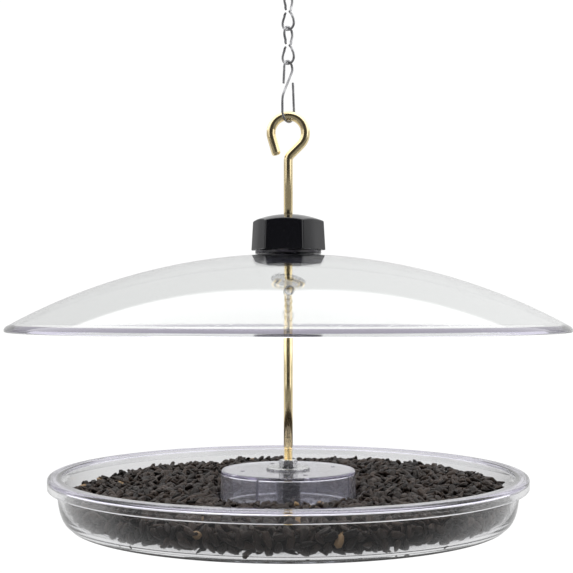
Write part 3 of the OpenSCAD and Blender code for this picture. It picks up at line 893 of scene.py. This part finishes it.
def hub_tree():
    """Adds upright ribs inside a cup and drills a ring of holes through its top."""
    inputs = [("Geometry", GEOMETRY, None), ("Count", INTEGER, 4), ("Rib Turn", FLOAT, 0),
              ("Rib Length", FLOAT, 0.03), ("Rib Thickness", FLOAT, 0.0016), ("Rib Height", FLOAT, 0.02),
              ("Rib Middle", FLOAT, 0.026), ("Rib Level", FLOAT, 0), ("Hole Turn", FLOAT, 0),
              ("Hole Radius", FLOAT, 0.00175), ("Hole Circle", FLOAT, 0.033), ("Hole Level", FLOAT, 0),
              ("Material", STUFF, None)]
    tree, given, result = group("ribs_and_holes", "GeometryNodeTree", inputs, [("Geometry", GEOMETRY)])

    def ring_of(shape, turn, reach, level):
        """The shape repeated evenly round the axis."""
        start = add(tree, "ShaderNodeCombineXYZ", {"X": reach, "Z": level})
        moved = add(tree, "GeometryNodeTransform", {"Geometry": shape, "Translation": start.outputs[0]})
        points = add(tree, "GeometryNodePoints", {"Count": given.outputs["Count"]})
        index = tree.nodes.new("GeometryNodeInputIndex")
        step = maths(tree, "DIVIDE", 2 * math.pi, given.outputs["Count"])
        angle = maths(tree, "MULTIPLY_ADD", index.outputs[0], step, turn)
        spin = add(tree, "ShaderNodeCombineXYZ", {"Z": angle})
        copies = add(tree, "GeometryNodeInstanceOnPoints",
                     {"Points": points.outputs[0], "Instance": moved.outputs[0],
                      "Rotation": spin.outputs[0]})
        return add(tree, "GeometryNodeRealizeInstances", {"Geometry": copies.outputs[0]}).outputs[0]

    size = add(tree, "ShaderNodeCombineXYZ", {"X": given.outputs["Rib Length"],
                                              "Y": given.outputs["Rib Thickness"],
                                              "Z": given.outputs["Rib Height"]})
    rib = add(tree, "GeometryNodeMeshCube", {"Size": size.outputs[0]})
    ribs = ring_of(rib.outputs["Mesh"], given.outputs["Rib Turn"], given.outputs["Rib Middle"],
                   given.outputs["Rib Level"])
    drill = add(tree, "GeometryNodeMeshCylinder",
                {"Vertices": 32, "Radius": given.outputs["Hole Radius"], "Depth": 0.01})
    drills = ring_of(drill.outputs["Mesh"], given.outputs["Hole Turn"], given.outputs["Hole Circle"],
                     given.outputs["Hole Level"])
    joined = add(tree, "GeometryNodeMeshBoolean", operation="UNION", solver="EXACT")
    tree.links.new(given.outputs["Geometry"], joined.inputs["Mesh 2"])
    tree.links.new(ribs, joined.inputs["Mesh 2"])
    drilled = add(tree, "GeometryNodeMeshBoolean", {"Mesh 1": joined.outputs["Mesh"]},
                  operation="DIFFERENCE", solver="EXACT")
    tree.links.new(drills, drilled.inputs["Mesh 2"])
    end_tree(tree, drilled.outputs["Mesh"], given, result)
    return tree


def hub_cover():
    """The clear inverted cup with its ribs and drain holes."""
    cup = rounded([
        (small_hole, hub_top - hub_plate, 0.3 * MM), (hub_top_r - hub_wall, hub_top - hub_plate, 0.8 * MM),
        (hub_foot_r - hub_wall, hub_foot, 0.5 * MM), (hub_foot_r, hub_foot, 0.5 * MM),
        (hub_top_r, hub_top, 1.2 * MM), (small_hole, hub_top, 0.3 * MM)])
    rib_height = hub_top - hub_plate - hub_foot
    inner, outer = post_r + 1 * MM, hub_top_r - 1 * MM
    mesh = grow("hub_cover", hub_tree(), turned("cup", cup, 144), **{
        "Rib Turn": rib_turn, "Rib Length": outer - inner, "Rib Height": rib_height,
        "Rib Middle": (inner + outer) / 2, "Rib Level": hub_foot + rib_height / 2 + 0.6 * MM,
        "Hole Turn": hole_turn, "Hole Level": hub_top, "Material": CLEAR_HUB})
    return finished(mesh)


place("hub_cover", hub_cover(), "feeder", ["hub_cover"])


def post_section():
    """The post under the hub: a shallow groove near each end."""
    low, high = foot_of("hub_post"), top_of("hub_post")
    waist_r = post_r - 0.5 * MM
    return rounded([
        (small_hole, low, 0.3 * MM), (post_r, low, 0.4 * MM), (post_r, low + 3 * MM, 0.3 * MM),
        (waist_r, low + 3.6 * MM, 0.3 * MM), (waist_r, high - 3.6 * MM, 0.3 * MM),
        (post_r, high - 3 * MM, 0.3 * MM), (post_r, high, 0.4 * MM), (small_hole, high, 0.3 * MM)])


place("hub_post", turned("hub_post", post_section(), 80), "feeder", ["hub_post"], POST_BLACK)

# ---------------------------------------------------------------- dish

dish_r = radius_of("seed_dish")
foot_r = dish_r - 14.7 * MM
floor_z = rim_z - 28.5 * MM
floor_t = 2.6 * MM
seat_z = foot_of("hub_post")
lip_t, lip_drop = 2.3 * MM, 7.9 * MM


def wall_curve(degrees, inset):
    """The dish wall's bow, from the foot at 0 degrees up to the rim at 90 degrees."""
    a = math.radians(degrees)
    up = base_z + (rim_z - base_z - 10.5 * MM) * (1 - math.cos(a)) + 1.2 * MM + 0.9 * inset * math.cos(a)
    return foot_r + 8 * MM * math.sin(a) - inset, up


def dish_section():
    """The dish's outline: raised middle, flat floor, foot ring, bowed side and turned-down rim."""
    wall_t = 2.6 * MM
    seat_under = seat_z - floor_t
    wall_in = dish_r - 8.3 * MM
    outline = [
        (small_hole, seat_under, 0.3 * MM), (43.4 * MM, seat_under, 1.2 * MM),
        (46.2 * MM, floor_z - floor_t, 1.2 * MM), (foot_r - 6.5 * MM, floor_z - floor_t, 0.3 * MM),
        (foot_r - 5.6 * MM, base_z, 0.5 * MM), (foot_r, base_z, 0.6 * MM)]
    outline += [(*wall_curve(a, 0), 0) for a in range(6, 91, 7)]
    outline += [(dish_r - 6.5 * MM, rim_z - lip_t, 1.2 * MM),
                (dish_r - lip_t, rim_z - lip_t, 1.2 * MM),
                (dish_r - lip_t, rim_z - lip_drop, 0.7 * MM),
                (dish_r, rim_z - lip_drop, 0.9 * MM), (dish_r, rim_z, 2.0 * MM)]
    outline += [(wall_in, rim_z, 0), (wall_in - 0.9 * MM, rim_z - 0.4 * MM, 0),
                (wall_in - 1.3 * MM, rim_z - 1.4 * MM, 0)]
    outline += [(*wall_curve(a, wall_t), 0) for a in range(90, 5, -7)]
    outline += [(foot_r - 7.5 * MM, floor_z, 1.5 * MM), (50.6 * MM, floor_z, 1.5 * MM),
                (47 * MM, seat_z, 1.0 * MM), (small_hole, seat_z, 0.3 * MM)]
    return rounded(outline)


place("seed_dish", turned("seed_dish", dish_section(), 240), "feeder", ["seed_dish"],
      CLEAR_DISH)

# ---------------------------------------------------------------- seeds


def seed_tree():
    """Seeds strewn over a bed, each tilted and turned its own way."""
    inputs = [("Geometry", GEOMETRY, None), ("Spacing", FLOAT, 0.006), ("Length", FLOAT, 0.0105),
              ("Width", FLOAT, 0.0052), ("Thickness", FLOAT, 0.0028), ("Tilt", FLOAT, 0.5),
              ("Seed", INTEGER, 1), ("Material", STUFF, None)]
    tree, given, result = group("strewn_seeds", "GeometryNodeTree", inputs, [("Geometry", GEOMETRY)])

    def random(low, high, offset, vector=False):
        """A random value for each seed, from the tree's fixed seed."""
        kind = "FLOAT_VECTOR" if vector else "FLOAT"
        number = maths(tree, "ADD", given.outputs["Seed"], offset)
        made = add(tree, "FunctionNodeRandomValue", {"Seed": number}, data_type=kind)
        first = 0 if vector else 2
        made.inputs[first].default_value = low
        made.inputs[first + 1].default_value = high
        return made.outputs[0 if vector else 1]

    # One seed: a ball of few faces, drawn out to a point at one end
    ball = add(tree, "GeometryNodeMeshUVSphere", {"Segments": 6, "Rings": 4, "Radius": 0.5})
    laid = add(tree, "GeometryNodeTransform",
               {"Geometry": ball.outputs["Mesh"], "Rotation": (0, math.pi / 2, 0)})
    where = tree.nodes.new("GeometryNodeInputPosition")
    parts = add(tree, "ShaderNodeSeparateXYZ", {"Vector": where.outputs[0]})
    taper = maths(tree, "MULTIPLY_ADD", parts.outputs["X"], -0.85, 1.0)
    shape = add(tree, "ShaderNodeCombineXYZ",
                {"X": maths(tree, "MULTIPLY", parts.outputs["X"], given.outputs["Length"]),
                 "Y": maths(tree, "MULTIPLY", maths(tree, "MULTIPLY", parts.outputs["Y"], taper),
                            given.outputs["Width"]),
                 "Z": maths(tree, "MULTIPLY", maths(tree, "MULTIPLY", parts.outputs["Z"], taper),
                            given.outputs["Thickness"])})
    seed = add(tree, "GeometryNodeSetPosition", {"Geometry": laid.outputs[0], "Position": shape.outputs[0]})
    own_place = add(tree, "GeometryNodeStoreNamedAttribute",
                    {"Geometry": seed.outputs[0], "Name": "husk_place", "Value": shape.outputs[0]},
                    data_type="FLOAT_VECTOR", domain="POINT")

    spread = add(tree, "GeometryNodeDistributePointsOnFaces",
                 {"Mesh": given.outputs["Geometry"], "Distance Min": given.outputs["Spacing"],
                  "Density Max": 100000, "Seed": given.outputs["Seed"]}, distribute_method="POISSON")
    spin = add(tree, "FunctionNodeRotateRotation", {"Rotation": spread.outputs["Rotation"]},
               rotation_space="LOCAL")
    angle = random(0, 2 * math.pi, 11)
    tilt = add(tree, "ShaderNodeVectorMath",
               {0: random((-1, -1, 0), (1, 1, 0), 12, True)}, operation="SCALE")
    tree.links.new(given.outputs["Tilt"], tilt.inputs["Scale"])
    parts = add(tree, "ShaderNodeSeparateXYZ", {"Vector": tilt.outputs[0]})
    turn = add(tree, "ShaderNodeCombineXYZ",
               {"X": parts.outputs["X"], "Y": parts.outputs["Y"], "Z": angle})
    as_rotation = add(tree, "FunctionNodeEulerToRotation", {"Euler": turn.outputs[0]})
    tree.links.new(as_rotation.outputs[0], spin.inputs["Rotate By"])
    size = random((0.85, 0.85, 0.85), (1.12, 1.15, 1.15), 13, True)
    strewn = add(tree, "GeometryNodeInstanceOnPoints",
                 {"Points": spread.outputs["Points"], "Instance": own_place.outputs[0],
                  "Rotation": spin.outputs[0], "Scale": size})
    toned = add(tree, "GeometryNodeStoreNamedAttribute",
                {"Geometry": strewn.outputs[0], "Name": "husk_tone", "Value": random(0, 1, 14)},
                data_type="FLOAT", domain="INSTANCE")
    end_tree(tree, toned.outputs[0], given, result)
    return tree


heap_slope = 0.015     # the heap rises towards the right and the back


def seed_bed(section, sink):
    """The surface that seeds lie on: a section carried round the axis, uneven, and lowered a little."""
    steps, rows = 180, []
    for k in range(steps):
        a = 2 * math.pi * k / steps
        for r, z, free in section:
            spot = Vector((r * math.cos(a), r * math.sin(a), 0))
            swell = noise.noise(spot * 45) * 1.6 * MM + noise.noise(spot * 140) * 0.8 * MM
            slope = (spot.x + spot.y) * heap_slope
            rows.append((spot.x, spot.y, z + free * (swell + slope) - sink))
    count = len(section)
    faces = []
    for i in range(steps):
        k = (i + 1) % steps
        faces += [(i * count + j, i * count + j + 1, k * count + j + 1, k * count + j)
                  for j in range(count - 1)]
    mesh = bpy.data.meshes.new("seed_bed")
    mesh.from_pydata(rows, [], faces)
    return mesh


bed_inner, core_floor = 54 * MM, floor_z + 2.2 * MM
heap_out = [(51.5 * MM, rim_z - 15.2 * MM, 1), (60 * MM, rim_z - 13.6 * MM, 1),
            (82 * MM, rim_z - 11.8 * MM, 1), (120 * MM, rim_z - 11.0 * MM, 1),
            (140 * MM, rim_z - 11.4 * MM, 1), (148 * MM, rim_z - 12.6 * MM, 0.8)]
lower_bed = [(149.2 * MM, rim_z - 15 * MM, 0), (149.2 * MM, rim_z - 19 * MM, 0),
             (147.6 * MM, rim_z - 23.6 * MM, 0), (145.6 * MM, core_floor, 0),
             (140 * MM, floor_z + 1.7 * MM, 0), (bed_inner, floor_z + 1.7 * MM, 0)]
SEEDS = seed_tree()
for name, section, sink, spacing, tilt, number in (
        ("seeds_top", heap_out, 0, 4.6 * MM, 0.8, 3),
        ("seeds_under_top", heap_out, 3.0 * MM, 5.0 * MM, 0.8, 5),
        ("seeds_bottom", lower_bed, 0, 4.7 * MM, 0.5, 8)):
    heap = grow(name, SEEDS, seed_bed(section, sink),
                **{"Spacing": spacing, "Tilt": tilt, "Seed": number, "Material": HUSK})
    place(name, heap, "feeder", ["seed_fill"])

# What lies inside the heap: a dark body that keeps light from passing between the husks
heap_core = [(bed_inner, core_floor, 0), (143.5 * MM, core_floor, 0),
             (147 * MM, rim_z - 22 * MM, 0), (147 * MM, rim_z - 17.5 * MM, 0),
             (120 * MM, rim_z - 16.5 * MM, 0), (82 * MM, rim_z - 17 * MM, 0),
             (bed_inner, rim_z - 20 * MM, 0)]
place("seed_core", turned("seed_core", rounded(heap_core[::-1]), 120), "feeder", ["seed_fill"], HUSK)

# ---------------------------------------------------------------- floor, light and sky

floor_size, floor_drop = 24, 0.45


def stage_paint():
    """White floor that gives less light than it looks, least of all on the camera's side."""
    made, tree, _, coords = blank("stage_floor")
    path = tree.nodes.new("ShaderNodeLightPath")
    parts = add(tree, "ShaderNodeSeparateXYZ", {"Vector": coords})
    lit = ranged(tree, parts.outputs["Y"], -0.5, 0.1, 0.25, 0.8)
    seen = path.outputs["Is Camera Ray"]
    unseen = maths(tree, "MULTIPLY", lit, maths(tree, "SUBTRACT", 1.0, seen))
    strength = maths(tree, "MULTIPLY_ADD", seen, 1.05, unseen)
    glow = add(tree, "ShaderNodeEmission", {"Strength": strength})
    # From below the floor is see-through, so that it never hides the object
    clear = tree.nodes.new("ShaderNodeBsdfTransparent")
    sides = tree.nodes.new("ShaderNodeMixShader")
    tree.links.new(tree.nodes.new("ShaderNodeNewGeometry").outputs["Backfacing"], sides.inputs[0])
    tree.links.new(glow.outputs[0], sides.inputs[1])
    tree.links.new(clear.outputs[0], sides.inputs[2])
    tree.links.new(sides.outputs[0], tree.nodes["Material Output"].inputs["Surface"])
    return made


floor_mesh = bpy.data.meshes.new("stage_floor")
half = floor_size / 2
floor_level = base_z - floor_drop
floor_mesh.from_pydata([(-half, -half, floor_level), (half, -half, floor_level),
                        (half, half, floor_level), (-half, half, floor_level)], [], [(0, 1, 2, 3)])
floor_mesh.materials.append(stage_paint())
stage_floor = bpy.data.objects.new("stage_floor", floor_mesh)
scene.collection.objects.link(stage_floor)


def soft_light(name, place_at, aim, size, power):
    """A square soft box that points at a place, and is not seen in gloss."""
    data = bpy.data.lights.new(name, "AREA")
    data.shape = "SQUARE"
    data.size = size
    data.energy = power
    lamp = bpy.data.objects.new(name, data)
    lamp.location = place_at
    lamp.rotation_mode = "QUATERNION"
    lamp.rotation_quaternion = (Vector(aim) - Vector(place_at)).to_track_quat("-Z", "Y")
    lamp.visible_glossy = False
    scene.collection.objects.link(lamp)
    return lamp


soft_light("overhead", (-0.2, -0.3, crown_z + 0.9), (0, 0, rim_z), 0.9, 6)


def sky():
    """The studio round the object, by direction.

    The camera sees white. Gloss and glass see a pale backdrop, tall soft boxes at both sides,
    a wide one overhead that ends above the backdrop, and a dark room on the camera's side.
    """
    world = bpy.data.worlds.new("studio")
    scene.world = world
    world.use_nodes = True
    tree = world.node_tree
    direction = add(tree, "ShaderNodeTexCoord").outputs["Generated"]
    parts = add(tree, "ShaderNodeSeparateXYZ", {"Vector": direction})
    x, y, z = parts.outputs
    turn = maths(tree, "ARCTAN2", x, y)
    share = maths(tree, "DIVIDE", maths(tree, "ABSOLUTE", turn), math.pi)
    ring = add(tree, "ShaderNodeValToRGB", {"Fac": share})
    stops = ((0.0, 0.82), (0.2, 0.82), (0.24, 0.45), (0.28, 0.5), (0.32, 1.0), (0.41, 1.1),
             (0.46, 0.12), (0.52, 0.12), (0.56, 1.2), (0.74, 1.2), (0.79, 0.05), (1.0, 0.05))
    while len(ring.color_ramp.elements) < len(stops):
        ring.color_ramp.elements.new(1.0)
    for element, (position, level) in zip(ring.color_ramp.elements, stops):
        element.position = position
        element.color = (level, level, level, 1)
    round_it = add(tree, "ShaderNodeSeparateColor", {"Color": ring.outputs[0]}).outputs[0]
    # The backdrop is dimmer on the left
    fade = ranged(tree, x, -0.5, 0.4, 0.86, 1.1)
    level = maths(tree, "MULTIPLY", round_it, fade)
    # The overhead box: its far edge runs across the top of the backdrop
    wide = maths(tree, "MULTIPLY", maths(tree, "ABSOLUTE", x), 0.47)
    edge = maths(tree, "SUBTRACT", maths(tree, "MULTIPLY_ADD", z, 1.126, wide), y)
    far = ranged(tree, edge, 0.0, 0.04, 0, 1)
    near = ranged(tree, maths(tree, "MULTIPLY_ADD", z, 0.8, y), 0.0, 0.1, 0, 1)
    high = ranged(tree, z, 0.2, 0.3, 0, 1)
    mask = maths(tree, "MULTIPLY", maths(tree, "MULTIPLY", far, near), high)
    level = maths(tree, "ADD", maths(tree, "MULTIPLY", level, maths(tree, "SUBTRACT", 1.0, mask)),
                  maths(tree, "MULTIPLY", mask, 1.9))
    path = tree.nodes.new("ShaderNodeLightPath")
    seen = add(tree, "ShaderNodeMix", {0: path.outputs["Is Camera Ray"], 2: level, 3: 1.05},
               data_type="FLOAT")
    back = tree.nodes["Background"]
    tree.links.new(seen.outputs[0], back.inputs["Strength"])
    back.inputs["Color"].default_value = (1, 1, 1, 1)


sky()
scene.view_settings.view_transform = "Standard"
scene.cycles.use_denoising = True
scene.cycles.max_bounces = 20
scene.cycles.transmission_bounces = 20
scene.cycles.transparent_max_bounces = 12
scene.cycles.glossy_bounces = 8
